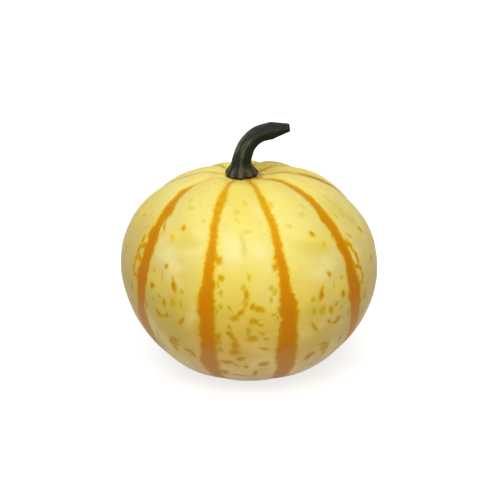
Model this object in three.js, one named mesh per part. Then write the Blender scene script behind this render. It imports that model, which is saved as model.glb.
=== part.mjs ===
// A small ornamental pumpkin: one ribbed fruit and the dried stalk that stands in its crown.
// Millimetres, +Z up. The origin is the middle of the flat spot that the fruit rests on, and the front faces -Y.
import * as THREE from 'three';

// ---------- Driving dimensions: the fruit ----------
const GIRTH_RADIUS = 74.7; // from the axis to the rib crests, at the widest level
const GIRTH_HEIGHT = 62.6; // the widest level above the surface that the fruit rests on
const CROWN_RISE = 57.6; // how far the shoulders would rise above the widest level with no dimple
const SEAT_RISE = 53.9; // the stalk's seat above the widest level, in the bottom of the dimple
const BLOSSOM_DROP = 65.1; // how far the rounded bottom would reach below it with no flat spot
const SEAT_RADIUS = 11.6; // the level seat under the stalk's foot
const CREST_RADIUS = 25.5; // where the dimple has risen to the shoulders
const FLAT_SPOT_EASE = 0.8; // height over which the bottom rounds off into the flat spot

// Exponents of the profile's two quarter ovals: below 1 is fuller than an ellipse, above 1 is leaner.
const UPPER_OVAL = { radius: 0.88, height: 0.94 };
const LOWER_OVAL = { radius: 0.79, height: 1.125 };

// The fruit grew a little lopsided.
const CROWN_SHIFT = -2.8; // the ribs meet this far along X from the axis
const CROWN_SHIFT_RADIUS = 41; // the rings of the profile start to shift inside this radius
const FLANK_SLOPE = 0.017; // drop of the +X flank, and rise of the -X one, per millimetre from the axis
const FLANK_SLOPE_FADE = 1.3; // how fast that slope fades towards the crown and the bottom

// Depth of the grooves below the rib crests.
const GROOVE_DEPTH = { girth: 0.6, shoulder: 1.2, bottom: 0.3 };
const GROOVE_SOFTNESS = 0.22; // 0 is a sharp crease between the ribs
const GROOVE_FADE_RADIUS = { crown: 22.5, bottom: 26 }; // the grooves run out inside these radii

// The grooves, anticlockwise seen from above, as azimuths in degrees: 0 is the front, 90 is +X.
// atCrown and atBottom are how far each one swings aside on its way to the stalk and to the flat spot.
// swell is how far the rib that follows the groove stands out beyond an even fruit.
const GROOVES = [
  { azimuth: -140, atCrown: 0, atBottom: 0, swell: 0 },
  { azimuth: -114, atCrown: 12, atBottom: 0, swell: 0.4 },
  { azimuth: -54, atCrown: -11, atBottom: -7, swell: 0.4 },
  { azimuth: -18, atCrown: -7, atBottom: -4, swell: 0 },
  { azimuth: 15.5, atCrown: -5, atBottom: 4.5, swell: 0.4 },
  { azimuth: 50.5, atCrown: 4, atBottom: 14, swell: 0.7 },
  { azimuth: 106, atCrown: -5, atBottom: 0, swell: 0.8 },
  { azimuth: 135, atCrown: 0, atBottom: 0, swell: 0.9 },
  { azimuth: 165, atCrown: 0, atBottom: 0, swell: 0.4 },
  { azimuth: 193, atCrown: 0, atBottom: 0, swell: 0 },
];
const SWING_START = { crown: 28, bottom: 0 }; // latitudes, in degrees, where the swing begins
const SWING_END = { crown: 70, bottom: -48 }; // and where it is complete

// ---------- Driving dimensions: the stalk ----------
const FOOT_SHIFT = -4.4; // the middle of the foot, along X from the fruit's axis
const SEAT_GAP = 0.3; // clearance between the foot and its seat
const FOOT_RADIUS = 10;
const FOOT_FLARE_HEIGHT = 5.2; // height in which the foot loses most of its flare
const STALK_RADIUS = { foot: 5.5, bend: 4.9, tip: 2.2 }; // above the flare, in the bend, at the cut end
const TIP_TAPER_LENGTH = 10.5;
const FLUTES = 10; // round the foot
const FLUTE_DEPTH = 0.55;
const RIDGES = 5; // along the stalk
const RIDGE_DEPTH = 0.35;
// Bends of the stalk's middle line from the middle of its foot, as [X, Z]. It lies in the XZ plane.
const STALK_LINE = [
  [0, 0], [0, 5], [0.4, 9.8], [1.8, 14.6], [3.9, 18.7], [6.7, 22.1], [10.6, 24.6], [15.3, 26.1], [20.4, 27.1],
  [27.6, 28.1],
];

// ---------- Fineness ----------
const COLUMNS_PER_RIB = 10;
const FRUIT_ROWS = 38;
const STALK_COLUMNS = 40;
const STALK_ROWS = 26;

const radians = THREE.MathUtils.degToRad;
const degrees = THREE.MathUtils.radToDeg;
const smooth = (from, to, value) => {
  const t = THREE.MathUtils.clamp((value - from) / (to - from), 0, 1);
  return t * t * (3 - 2 * t);
};

// A closed body from rings of points, listed bottom to top, and one point that closes each end.
function closedRings(bottom, rings, top) {
  const columns = rings[0].length;
  const points = [bottom, ...rings.flat(), top];
  const last = points.length - 1;
  const at = (row, column) => 1 + row * columns + (column % columns);
  const faces = [];
  for (let c = 0; c < columns; c++) {
    faces.push(0, at(0, c + 1), at(0, c));
    for (let row = 0; row + 1 < rings.length; row++) {
      faces.push(at(row, c), at(row, c + 1), at(row + 1, c + 1));
      faces.push(at(row, c), at(row + 1, c + 1), at(row + 1, c));
    }
    faces.push(last, at(rings.length - 1, c), at(rings.length - 1, c + 1));
  }
  const geometry = new THREE.BufferGeometry();
  geometry.setAttribute('position', new THREE.Float32BufferAttribute(points.flatMap((p) => p.toArray()), 3));
  geometry.setIndex(faces);
  geometry.computeVertexNormals();
  return geometry;
}

// ---------- The fruit ----------

// Radius and height above the widest level at a latitude: a quarter oval above, another below, and the
// dimple blended in between the seat and the crest.
function profile(latitude) {
  const level = Math.max(Math.cos(latitude), 0);
  const rise = Math.abs(Math.sin(latitude));
  if (latitude < 0) {
    return [GIRTH_RADIUS * level ** LOWER_OVAL.radius, -BLOSSOM_DROP * rise ** LOWER_OVAL.height];
  }
  const radius = GIRTH_RADIUS * level ** UPPER_OVAL.radius;
  const height = CROWN_RISE * rise ** UPPER_OVAL.height;
  return [radius, SEAT_RISE + (height - SEAT_RISE) * smooth(SEAT_RADIUS, CREST_RADIUS, radius)];
}

// The profile's outward direction at a latitude, from two neighbouring points.
function profileNormal(latitude) {
  const step = 1e-4;
  const [r0, z0] = profile(latitude - step);
  const [r1, z1] = profile(latitude + step);
  const length = Math.hypot(r1 - r0, z1 - z0) || 1;
  return [(z1 - z0) / length, (r0 - r1) / length];
}

// Azimuth in degrees of a groove at a latitude in degrees.
function grooveAzimuth(index, latitude) {
  const turns = Math.floor(index / GROOVES.length);
  const groove = GROOVES[index - turns * GROOVES.length];
  const crown = groove.atCrown * smooth(SWING_START.crown, SWING_END.crown, latitude);
  const bottom = groove.atBottom * smooth(-SWING_START.bottom, -SWING_END.bottom, -latitude);
  return groove.azimuth + 360 * turns + crown + bottom;
}

// Depth of the grooves at a latitude, before they run out.
function grooveDepth(latitude) {
  const far = latitude < 0 ? GROOVE_DEPTH.bottom : GROOVE_DEPTH.shoulder;
  return GROOVE_DEPTH.girth + (far - GROOVE_DEPTH.girth) * smooth(0, 1, Math.abs(latitude));
}

// 1 over most of the fruit, falling to 0 where the ribs run out at the seat and in the flat spot.
function ribStrength(latitude, radius) {
  if (latitude < 0) return smooth(0, GROOVE_FADE_RADIUS.bottom, radius);
  return smooth(SEAT_RADIUS, GROOVE_FADE_RADIUS.crown, radius);
}

// 1 in a groove, 0 on a rib's crest; across runs from 0 to 1 from one groove to the next.
function grooveShape(across) {
  const soft = GROOVE_SOFTNESS;
  const rib = (Math.hypot(Math.sin(Math.PI * across), soft) - soft) / (Math.hypot(1, soft) - soft);
  return 1 - rib;
}

// A point of the skin. ribPlace counts ribs from the first groove, so whole numbers lie in the grooves.
function skinPoint(latitude, ribPlace) {
  const rib = Math.floor(ribPlace);
  const across = ribPlace - rib;
  const from = grooveAzimuth(rib, degrees(latitude));
  const to = grooveAzimuth(rib + 1, degrees(latitude));
  const azimuth = radians(from + (to - from) * across);

  const [radius, height] = profile(latitude);
  const [outR, outZ] = profileNormal(latitude);
  const groove = grooveShape(across);
  const swell = GROOVES[rib % GROOVES.length].swell * (1 - groove);
  const sunk = (grooveDepth(latitude) * groove - swell) * ribStrength(latitude, radius);
  const r = radius - sunk * outR;
  const flank = FLANK_SLOPE * r * Math.sin(azimuth) * Math.cos(latitude) ** FLANK_SLOPE_FADE;
  const shift = latitude > 0 ? CROWN_SHIFT * smooth(CROWN_SHIFT_RADIUS, SEAT_RADIUS, radius) : 0;
  const z = GIRTH_HEIGHT + height - sunk * outZ - flank;
  return new THREE.Vector3(r * Math.sin(azimuth) + shift, -r * Math.cos(azimuth), flattened(z));
}

// The bottom rounds off into the plane z = 0 and goes no lower.
function flattened(z) {
  if (z > FLAT_SPOT_EASE) return z;
  if (z < -FLAT_SPOT_EASE) return 0;
  return (z + FLAT_SPOT_EASE) ** 2 / (4 * FLAT_SPOT_EASE);
}

function fruitGeometry() {
  const columns = GROOVES.length * COLUMNS_PER_RIB;
  const rings = [];
  for (let row = 1; row < FRUIT_ROWS; row++) {
    const latitude = Math.PI * (row / FRUIT_ROWS - 0.5);
    rings.push(Array.from({ length: columns }, (_, c) => skinPoint(latitude, c / COLUMNS_PER_RIB)));
  }
  const bottom = new THREE.Vector3(0, 0, 0);
  const top = new THREE.Vector3(CROWN_SHIFT, 0, GIRTH_HEIGHT + SEAT_RISE);
  return closedRings(bottom, rings, top);
}

// ---------- The stalk ----------

function stalkGeometry() {
  const line = new THREE.CatmullRomCurve3(
    STALK_LINE.map(([x, z]) => new THREE.Vector3(x, 0, z)), false, 'centripetal');
  const length = line.getLength();
  const sideways = new THREE.Vector3(0, 1, 0);
  const rings = [];
  for (let row = 0; row <= STALK_ROWS; row++) {
    const t = row / STALK_ROWS;
    const along = t * length;
    const middle = line.getPointAt(t);
    const tangent = row === 0 ? new THREE.Vector3(0, 0, 1) : line.getTangentAt(t);
    const inward = new THREE.Vector3().crossVectors(sideways, tangent); // towards the inside of the bend
    const flare = Math.exp(-((along / FOOT_FLARE_HEIGHT) ** 2));
    const stalk = THREE.MathUtils.lerp(STALK_RADIUS.foot, STALK_RADIUS.bend, Math.min(2 * t, 1));
    const round = stalk + (FOOT_RADIUS - stalk) * flare;
    const taper = Math.max((along - length) / TIP_TAPER_LENGTH + 1, 0);
    rings.push(Array.from({ length: STALK_COLUMNS }, (_, c) => {
      const angle = 2 * Math.PI * c / STALK_COLUMNS; // 0 is the inside of the bend
      const flutes = FLUTE_DEPTH * flare * (Math.cos(FLUTES * angle) - 1) / 2;
      const ridges = RIDGE_DEPTH * (1 - flare) * (Math.cos(RIDGES * angle) - 1) / 2;
      const radius = (round + flutes + ridges) * (1 - taper * (1 - STALK_RADIUS.tip / STALK_RADIUS.bend));
      return middle.clone()
        .addScaledVector(inward, radius * Math.cos(angle))
        .addScaledVector(sideways, radius * Math.sin(angle));
    }));
  }
  const ends = [rings[0], rings[STALK_ROWS]].map((ring) => {
    const sum = ring.reduce((total, point) => total.add(point), new THREE.Vector3());
    return sum.divideScalar(ring.length);
  });
  return closedRings(ends[0], rings, ends[1]);
}

// ---------- The whole ----------

const rind = new THREE.MeshStandardMaterial({ color: 0xefdc7a, roughness: 0.4, metalness: 0 });
const driedStalk = new THREE.MeshStandardMaterial({ color: 0x3a4031, roughness: 0.75, metalness: 0 });

const pumpkin = new THREE.Group();

const fruit = new THREE.Mesh(fruitGeometry(), rind);
fruit.name = 'fruit';
pumpkin.add(fruit);

const stem = new THREE.Mesh(stalkGeometry(), driedStalk);
stem.name = 'stem';
stem.position.set(FOOT_SHIFT, 0, GIRTH_HEIGHT + SEAT_RISE + SEAT_GAP);
pumpkin.add(stem);

export default pumpkin;
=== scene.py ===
"""A small ornamental pumpkin: the ribbed fruit with its striped and flecked rind, and the dried stalk.

Shapes are worked out in millimetres and put into the meshes in metres. +Z is up and the front faces -Y.
"""
import math

import bpy
import numpy as np
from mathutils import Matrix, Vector


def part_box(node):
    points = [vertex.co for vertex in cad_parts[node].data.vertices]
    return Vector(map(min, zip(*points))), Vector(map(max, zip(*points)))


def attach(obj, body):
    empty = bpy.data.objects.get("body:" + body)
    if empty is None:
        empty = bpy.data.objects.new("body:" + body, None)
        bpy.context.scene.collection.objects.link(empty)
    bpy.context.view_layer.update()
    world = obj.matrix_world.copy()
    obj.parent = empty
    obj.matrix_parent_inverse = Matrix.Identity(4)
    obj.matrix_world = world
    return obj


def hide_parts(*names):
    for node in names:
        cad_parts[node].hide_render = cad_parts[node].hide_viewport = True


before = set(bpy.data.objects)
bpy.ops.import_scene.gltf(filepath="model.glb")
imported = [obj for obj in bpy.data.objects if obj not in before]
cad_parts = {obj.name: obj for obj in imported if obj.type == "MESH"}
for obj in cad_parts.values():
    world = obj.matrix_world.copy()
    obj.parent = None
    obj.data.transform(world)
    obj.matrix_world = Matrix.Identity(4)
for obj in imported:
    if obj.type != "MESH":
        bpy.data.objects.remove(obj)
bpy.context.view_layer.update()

MM = 0.001  # metres in a millimetre

# ---------- The fruit's driving dimensions ----------
GIRTH_RADIUS = 74.7  # from the axis to the rib crests, at the widest level
GIRTH_HEIGHT = 62.6  # the widest level above the flat spot
CROWN_RISE = 57.6  # how far the shoulders would rise with no dimple
SEAT_RISE = 53.9  # the stalk's seat, in the bottom of the dimple
BLOSSOM_DROP = 65.1  # how far the bottom would reach with no flat spot
SEAT_RADIUS = 11.6
CREST_RADIUS = 25.5  # where the dimple has risen to the shoulders
FLAT_SPOT_EASE = 0.8  # height over which the bottom rounds off into the flat spot
UPPER_OVAL = (0.88, 0.94)  # exponents of the profile's radius and height above the widest level
LOWER_OVAL = (0.79, 1.125)  # and below it
CROWN_SHIFT = -2.8  # the ribs meet this far along X from the axis
CROWN_SHIFT_RADIUS = 41.0  # the rings start to slide here, on their way in to the seat
FLANK_SLOPE = 0.017  # how far the +X flank hangs down, as a share of its reach
FLANK_SLOPE_FADE = 1.3
GROOVE_DEPTH = {"girth": 0.6, "shoulder": 1.2, "bottom": 0.3}
GROOVE_SOFTNESS = 0.22
GROOVE_FADE_RADIUS = {"crown": 22.5, "bottom": 26.0}
SWING_LATITUDES = {"crown": (28, 70), "bottom": (0, 48)}
RIND_WAVES = {"broad": 0.16, "middling": 0.09, "small": 0.04}  # heights of the rind's hollows and swellings
PUCKERS = 31  # folds round the stalk's foot
PUCKER_HEIGHT = 0.16
PUCKER_RISE = (8, 11)  # radii between which the folds rise
PUCKER_FADE = (20, 12)  # and between which they die away
SCAR_DEPTH = 0.7
SCAR_RADII = (5.5, 2)  # where the blossom scar begins and where it is deepest

# How far the stripes reach aside from their grooves: latitudes in degrees, and millimetres at each.
STRIPE_EDGES = {
    "thin": (
        (-90, -45, 0, 25, 50, 62, 70),
        (2.2, 4, 4.2, 2.6, 1.9, 1.5, 0.9)),
    "bold": (
        (-90, -45, 0, 25, 50, 70, 80),
        (2.2, 4.6, 5, 3.6, 3, 2, 0.6)),
    "front left, outer": (
        (-90, -50, -37, -27, -15, -6, -2, 6, 9, 12, 20, 28, 36, 46, 52, 61, 70),
        (2, 3, 4.6, 2.7, 3.6, 3.9, 5.2, 5.3, 3.4, 2.9, 2.3, 2.7, 1.9, 1.5, 1, 1.7, 1.2)),
    "front left, inner": (
        (-90, -50, -37, -20, -14, -7, 4, 10, 16, 27, 33, 44, 52, 61, 65, 70, 80),
        (2, 4.4, 6.2, 6.5, 5.7, 5.1, 4.3, 4.4, 3.3, 3.6, 2.4, 2.6, 3.1, 3.4, 2.9, 1.7, 0.5)),
    "front right, inner": (
        (-90, -50, -34, -25, -17, -10, 0, 8, 15, 20, 27, 34, 40, 48, 62, 80),
        (2, 3.6, 5.8, 6.6, 4.5, 3, 3.6, 3.6, 3, 2.7, 4.2, 3.2, 2.4, 1.3, 1.4, 0.4)),
    "front right, outer": (
        (-90, -50, -30, -22, -14, 3, 9, 14, 23, 30, 36, 44, 49, 54, 62, 70),
        (2, 4.8, 5.7, 5.2, 6.4, 6.7, 3.9, 3, 2.2, 1.1, 1.4, 2, 2.9, 2.5, 2, 1.7)),
    "flank left, outer": (
        (-90, -45, -30, -20, -12, -4, 4, 9, 13, 18, 22, 26, 30, 36, 43, 49, 53, 59, 63, 70),
        (2.2, 5, 8.6, 7.6, 5.4, 4.4, 5, 4.4, 3.5, 2.4, 3.2, 3.6, 5.2, 3.8, 3.4, 3.7, 2.7, 3.8, 2.6, 0.8)),
    "flank left, inner": (
        (-90, -45, -30, -22, -14, -6, 2, 12, 20, 29, 35, 41, 45, 49, 54, 59, 65),
        (2.2, 3.6, 5.2, 4.6, 3, 3.6, 4.8, 6.6, 5.9, 5.1, 2.9, 2.9, 6.2, 5.5, 2.3, 1.1, -0.2)),
    "flank right, inner": (
        (-90, -45, -25, -17, -9, 0, 9, 14, 19, 26, 34, 39, 44, 50, 58, 65, 72, 80),
        (2, 3, 2.4, 1.7, 1.5, 3.1, 3.7, 2.7, 3, 4.2, 3.8, 5, 6.5, 5, 3.9, 3.6, 0.8, 1.2)),
    "flank right, outer": (
        (-90, -45, -24, -12, -3, 3, 9, 14, 19, 25, 30, 38, 46, 50, 56, 63, 70),
        (2.2, 4.6, 7.2, 8, 8.9, 8.2, 6.2, 5.2, 4.2, 4, 3, 2.5, 2.4, 1.5, 2.3, 1.6, 2.2)),
}

# The stripes: the edge before the groove and the edge after it, anticlockwise seen from above; the
# latitudes between which the stripe pales, and the strength that is left; the latitudes between which
# it browns, and how brown it gets.
STRIPES = {
    "thin": ("thin", "thin", (30, 60, 0.6), (25, 50, 0.8)),
    "far left": ("bold", "bold", (60, 70, 0.8), (25, 60, 0.7)),
    "flank left": ("flank left, outer", "flank left, inner", (62, 68, 0.4), (60, 66, 0.6)),
    "front left": ("front left, outer", "front left, inner", (80, 90, 1), (80, 90, 0)),
    "front right": ("front right, inner", "front right, outer", (80, 90, 1), (80, 90, 0)),
    "flank right": ("flank right, inner", "flank right, outer", (80, 90, 1), (80, 90, 0)),
    "far right": ("bold", "front left, inner", (62, 72, 0.55), (32, 58, 0.85)),
    "back right": ("flank right, outer", "flank right, inner", (55, 72, 0.75), (40, 66, 0.2)),
    "back": ("front right, outer", "front left, outer", (80, 90, 1), (60, 80, 0.5)),
    "back left": ("front left, inner", "front right, inner", (80, 90, 1), (60, 80, 0.3)),
}

# The grooves, anticlockwise seen from above: azimuth in degrees (0 is the front, 90 is +X), how far it
# swings aside towards the stalk and towards the flat spot, how far the rib after it stands out, the
# stripe in it, and the sheet of flecks on the rib after it: name, mirrored or not, slide, lift.
GROOVES = (
    (-140, 0, 0, 0, "far left", ("flank", 1, 4, -14)),
    (-114, 12, 0, 0.4, "thin", ("outer left", 1, 0, 0)),
    (-54, -11, -7, 0.4, "flank left", ("flank", 1, 0, 0)),
    (-18, -7, -4, 0, "front left", ("front", 1, 0, 0)),
    (15.5, -5, 4.5, 0.4, "front right", ("flank", -1, 2, 2.5)),
    (50.5, 4, 14, 0.7, "flank right", ("outer", -1, 0, 0)),
    (106, -5, 0, 0.8, "far right", ("front", -1, 0, -6)),
    (135, 0, 0, 0.9, "back right", ("flank", 1, 0, 7)),
    (165, 0, 0, 0.4, "back", ("front", 1, -3, 5)),
    (193, 0, 0, 0, "back left", ("flank", -1, 0, -5)),
)
# Where each sheet of flecks lies along U, in millimetres.
SHEETS = {"flank": 0, "front": 100, "outer": 200, "outer left": 300}

# Marks on the sheets: across from the rib's middle line, up from the widest level, half the width, half
# the height, and the lean in degrees.
ORANGE_MARKS = {
    "flank": (
        (1, 42, 1.4, 1.7, 0), (-3, 19, 1, 1.4, 0), (3.9, 9.2, 1.5, 3.4, 15), (-12.4, 5.6, 1.8, 2, 15),
        (-2.8, -1.6, 1.4, 2.2, 0), (-7.4, -9.2, 2.5, 1.3, -30), (-4.6, -10.4, 2, 0.9, 0),
        (-0.8, -8.6, 1, 1.5, 0), (8.9, -10.2, 1.1, 3, -30), (3.4, -24.8, 3, 1.3, 0),
        (0.8, -27.8, 1.4, 2.8, 0), (2, -32.4, 1.2, 2.6, 15), (12.6, -33.6, 1.5, 3.4, 30),
        (11, -31.6, 2.4, 1.2, -15), (-14.2, 40.8, 0.9, 4.8, 15),
    ),
    "front": (
        (-13.5, 17.5, 1.5, 1.8, 0), (0.3, 10.2, 1.3, 2.8, 0), (-2.9, -0.6, 1, 2.5, -45),
        (-6.4, -3.8, 2.3, 1.4, 0), (3.8, 3.2, 1.3, 1.8, 0), (6.8, 1.8, 2.8, 1.4, -15),
        (4, -5.5, 2.2, 1.6, -15), (3.4, -16.6, 2.6, 1.8, 0), (-9, -13.8, 2, 1.6, -30),
        (-7.2, -16.8, 1.4, 2.8, 30), (-6, -22, 1.9, 3, 0), (-6.4, -27.4, 2.4, 2.2, 0),
        (-3.4, -33, 2.2, 1.6, 15), (-11.1, -37.2, 3.4, 1.5, 0), (9.5, -38.2, 2.3, 1.9, 15),
        (-15.4, 27.4, 2.2, 2, 0), (-13, -50.4, 2.2, 3, 0), (-0.6, -40.8, 1, 1.3, 0),
        (15.8, 24.5, 1.6, 2, 0), (-15.4, -17, 1.5, 2.6, 0), (9.8, -24.6, 1.8, 0.9, -30),
    ),
    "outer": (
        (8.6, 30.5, 1.1, 2.8, -30), (26.6, 27, 1.1, 4, 0), (25.8, 20, 1.1, 4.2, 0), (25.6, 13, 1.1, 4, -15),
        (24.6, 7.8, 1.1, 2.8, 0), (27.6, 4.8, 2.8, 1.2, 0), (28.3, 14.4, 2.6, 1.4, 30),
        (28.6, 29, 2, 1.6, 0), (-6, 20, 1.3, 2.2, 15), (-15, 7, 1.6, 2.8, 0), (-4, -4, 1.5, 2, 0),
        (-21, 17, 1.2, 1.6, 0), (-10, -14, 2.6, 1.4, -15), (-22, -7, 1.5, 3, 15), (-1, -25, 1.8, 2.6, 0),
        (-15, -27, 2.8, 1.4, 15), (-25, 36, 1.2, 1.8, 0), (-7, -38, 2.2, 1.5, -30),
    ),
    "outer left": (
        (28, 27.4, 1.1, 3.4, 15), (28.8, 21.4, 1.1, 3.8, 0), (29.2, 15.2, 1.1, 3.6, 0),
        (29.4, 10.2, 1.1, 3, 0), (32.4, 6, 3, 1.3, 0), (31, 24.2, 2.6, 1.4, 30), (32.2, 17, 3.2, 1.5, -30),
        (-14, 25, 1.4, 1.8, 0), (-22, 11, 1.3, 3, 15), (-11, 1, 1.9, 1.5, -15), (-27, -3, 1.5, 2.2, 0),
        (-17, -13, 1.4, 2.8, 15), (-7, -24, 2.4, 1.4, -30), (-25, -25, 2.4, 1.6, 15),
        (-13, -36, 1.8, 2.4, 0), (-27, 31, 1.1, 1.6, 0),
    ),
}
GOLDEN_MARKS = {
    "flank": (
        (-4.6, 34.7, 1.8, 2, 0), (-12, 15, 1.6, 1.4, 0), (8.9, 7, 1.7, 1.7, 15), (13.6, 66.5, 1.2, 3, 0),
        (8.4, 0.3, 1.2, 1.9, 0), (2.6, 12.4, 1, 1.5, 0), (3, 0, 2.2, 3.2, 15), (3.4, -28.4, 2.6, 2.8, 0),
    ),
    "front": (
        (-8.4, 68, 1.4, 3, 0), (-15.2, 14.2, 1, 1.8, 15), (1.6, 19.3, 1.1, 2.3, 0), (-1.4, 13.8, 1.5, 2, 0),
        (7.4, -7.6, 2, 1.1, -15), (-0.2, 5, 1.7, 3.4, 0), (9.6, -24.4, 2.8, 1.2, -30),
        (-9, -9.5, 1, 1.8, 0), (-14.9, -21, 1.4, 2, 0),
    ),
    "outer": (
        (19, 45, 1.2, 2.4, 15), (-12, 31, 1.4, 2, 0), (-3, 9, 1.2, 2.4, 15), (-18, -17, 2, 1.4, 0),
        (-8, 50, 1.2, 2.6, 0), (-24, 5, 1.5, 1.8, 0),
    ),
    "outer left": (
        (12, 38.4, 1.2, 1.6, -30), (-19, 38, 1.3, 2.2, 0), (-10, 13, 1.2, 2, 0), (-20, -4, 1.8, 1.5, 15),
        (-14, -22, 1.5, 2, 0), (-5, 60, 0.7, 5, 15), (-2.4, 49.5, 0.7, 6, 15), (0, 41.5, 0.7, 4, 30),
        (2.6, 35.6, 0.7, 4, 30), (3, 27, 0.7, 5.4, 0), (5, 20, 0.6, 4, 15),
    ),
}
OLIVE_MARKS = {
    "flank": (
        (0.4, 55, 2.6, 1.8, 0), (11.4, 49, 1.4, 1.8, 0), (-2.5, 60, 1.6, 2.2, 15), (-18.1, -8, 1.3, 2.6, 0),
        (-10.5, -26.8, 1.2, 2.7, 15), (-6.7, 1.3, 1.7, 1.5, 0), (-11, -1.7, 0.7, 1.1, 0),
        (-5, 12, 0.5, 2.5, 0),
    ),
    "front": (
        (-2.3, 57.5, 1.7, 2.6, 0), (2.3, 64.6, 1.5, 2.6, 15), (-2.4, 51.2, 0.9, 2.6, 30),
        (2.3, 44.6, 2.8, 1.4, 0), (-13.8, 2, 1.2, 1.6, 0), (-16, -0.9, 1.1, 1.4, 0), (-8.9, 2, 1, 1.5, 15),
        (-13.4, 9.6, 1.4, 1.8, 0), (13.7, 6.7, 1.1, 1.7, -30), (15.7, 10.7, 1.1, 1.9, -15),
        (14, 13.4, 1.4, 1.8, -15), (15.4, -1.7, 1.1, 1.3, 0), (17.3, -4.1, 1, 1.5, 0),
        (1.3, -11.5, 1.3, 3, 0), (8.6, -13, 1.9, 0.9, -15), (10.8, -17.2, 1.4, 1.1, 0),
        (-14.7, -26.2, 1.5, 2.6, 30), (-5.9, -39.9, 2, 0.9, -30), (4.3, -49.4, 1.1, 4, -15),
        (-4.7, -52.4, 3.6, 1.1, 0),
    ),
    "outer": (
        (4, 74.5, 0.5, 5, 15), (7.2, 65.5, 0.5, 6, 30), (9.7, 56, 0.5, 6, 15), (10.9, 47, 0.6, 5, 15),
        (11.8, 39.5, 0.6, 4.4, 0), (14.2, 44, 0.5, 2.4, 15), (9, 37.5, 0.5, 2.6, 15),
        (22.4, 31.8, 1.1, 2.3, -30), (9.5, 13.2, 1, 2.2, 0), (22.4, -4, 1.8, 3, 0),
        (21.9, -15.5, 1.3, 2.6, 0), (19, 66, 0.8, 2, 30), (-9, 41, 1.4, 1.8, 0), (-19, 50, 1.6, 2.4, 15),
        (-27, 22, 1.2, 1.8, 0), (-1, -13, 1.2, 2.6, 0), (-13, -4, 0.9, 1.8, 30), (-21, -35, 1.6, 2.4, 0),
        (-28, -15, 1.2, 2.2, 0),
    ),
    "outer left": (
        (23.1, 33.6, 1.1, 2.7, -30), (13.5, 14.8, 1, 2.2, 15), (28, -1.6, 2, 3, 0),
        (24.8, -13.6, 1.4, 2.8, 15), (-13, 50, 1.5, 2, 15), (-23, 44, 1.6, 1.8, 0), (-17, 18, 1, 1.8, 30),
        (-27, 13, 1.2, 2, 0), (-10, -11, 1, 2.4, 0), (-19, -33, 1.6, 2.2, 0),
    ),
}

# Broad soft clouds, given in the same way. The pale ones are painted highlights.
PAINTED_HIGHLIGHTS = {
    "flank": ((-4, 25, 6, 5, 0), (3, 20, 6, 4, 0)),
    "front": ((8, 33, 6, 7, 0), (-8, 34, 5, 12, 0)),
    "outer": ((-14, 34, 7, 9, 0), (-21, 10, 6, 8, 15), (-5, 12, 5, 6, 0)),
    "outer left": ((-16, 30, 8, 9, 0), (-24, 4, 6, 8, 0)),
}
YELLOW_CLOUDS_AND_PAINTED_LIGHT = {
    "flank": ((-11, 9, 10, 7, 0), (0, 36, 14, 6, 0)),
    "front": ((0, 57, 8, 13, 0),),
    "outer": ((-12, 56, 8, 10, 0), (-12, -8, 9, 12, 0)),
    # the last one here is painted light, on the lit slope beside a groove
    "outer left": ((-15, 54, 8, 10, 0), (-16, -6, 8, 12, 0), (5, 38, 7, 14, 0)),
}
OLIVE_CLOUDS_AND_PAINTED_SHADE = {
    # the first one here is painted shade
    "flank": ((4, 34, 12, 5, 15), (8, 1, 7, 6, 0), (0, -17, 14, 8, 0)),
    "front": ((-0.5, 36, 2.6, 9, 0),),
    "outer": ((-9, -26, 12, 8, 0), (13, 48, 11, 12, 0)),
    "outer left": ((-18, -24, 10, 8, 0),),
}

# ---------- The stalk's driving dimensions ----------
FOOT_RADIUS = 10.0
FOOT_FLARE_HEIGHT = 5.2
FOOT_RIM = {"depth": 0.9, "height": 0.7}  # the foot is drawn in at its very bottom
STALK_RADIUS = {"foot": 5.5, "bend": 4.9, "tip": 2.2}
TIP_TAPER_LENGTH = 10.5
FLUTES = 10
FLUTE_DEPTH = 0.95
RIDGES = 5
RIDGE_DEPTH = 0.9
RIDGE_SOFTNESS = 0.25
RIDGE_LEVEL = 0.45  # the height of the ridge wave at which the radius is the stalk's own
RIDGE_TURN = -90.0  # a ridge runs up the front of the stalk
FOOT_LOBES = {"broad": 0.35, "narrow": 0.2}  # heights, like those of the finer waves that follow
THREAD_HEIGHTS = {"broad": 0.07, "narrow": 0.05}
LUMP_HEIGHT = 0.12
WRINKLE_HEIGHT = 0.1
CUT_DISH_DEPTH = 0.5
CUT_DISH_RINGS = (0.82, 0.55, 0.25)  # as shares of the cut end's own radius
CUT_END_FACES = (1, 0, 0.1)  # along +X and a little up
# Bends of the stalk's middle line from the middle of its foot, as X and Z. It lies in the XZ plane.
STALK_LINE = (
    (0, 0), (0, 5), (0.4, 9.8), (1.8, 14.6), (3.9, 18.7), (6.7, 22.1), (10.6, 24.6), (15.3, 26.1),
    (20.4, 27.1), (27.6, 28.1),
)
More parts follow.
